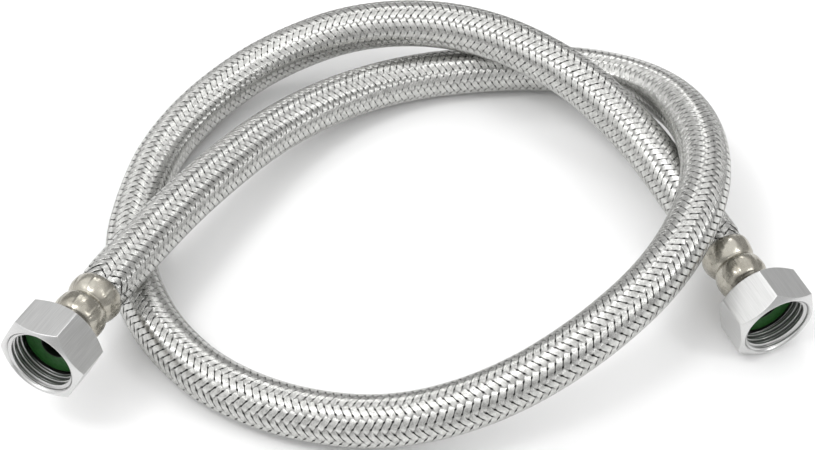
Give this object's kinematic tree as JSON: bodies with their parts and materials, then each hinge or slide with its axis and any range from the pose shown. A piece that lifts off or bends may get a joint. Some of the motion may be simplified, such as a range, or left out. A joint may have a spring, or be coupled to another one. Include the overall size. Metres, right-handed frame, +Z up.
{
  "type": "braided supply line",
  "caption": "Flexible water supply line: rubber hose in a woven steel sleeve, with a crimped ferrule and a swivel hex nut with a washer at each end, lying in a loop.",
  "frame": {"origin": "on the surface it lies on, under the middle of the box round the two end fittings", "axes": "+X from end A to end B across the loop, +Y away from the open mouths, +Z up"},
  "size_m": [0.2345, 0.1718, 0.0415],
  "materials": {
    "nickel_nut": "satin nickel plate, brushed along the nut",
    "green_rubber": "matt",
    "stem_metal": "turned brass",
    "ferrule_metal": "polished nickel plate, crimped",
    "black_rubber": "matt",
    "steel_braid": "bright woven wire"
  },
  "bodies": {
    "hose": {"inner_hose": "black_rubber", "braid_sleeve": "steel_braid", "stem_a": "stem_metal", "ferrule_a": "ferrule_metal", "stem_b": "stem_metal", "ferrule_b": "ferrule_metal"},
    "nut_a": {"swivel_nut_a": "nickel_nut"},
    "nut_b": {"swivel_nut_b": "nickel_nut"},
    "washer_a": {"washer_a": "green_rubber"},
    "washer_b": {"washer_b": "green_rubber"}
  },
  "joints": [
    {"name": "nut_a_swivel", "type": "hinge", "parent": "hose", "child": "nut_a", "pos_m": [-0.10544, -0.02697, 0.02938], "axis": [-0.4254, -0.8992, 0.1023], "continuous": true},
    {"name": "washer_a_pull_out", "type": "slide", "parent": "nut_a", "child": "washer_a", "axis": [-0.4254, -0.8992, 0.1023], "range_m": [0, 0.012]},
    {"name": "nut_b_swivel", "type": "hinge", "parent": "hose", "child": "nut_b", "pos_m": [0.10623, -0.00128, 0.01376], "axis": [0.404, -0.9146, -0.0185], "continuous": true},
    {"name": "washer_b_pull_out", "type": "slide", "parent": "nut_b", "child": "washer_b", "axis": [0.404, -0.9146, -0.0185], "range_m": [0, 0.012]}
  ]
}
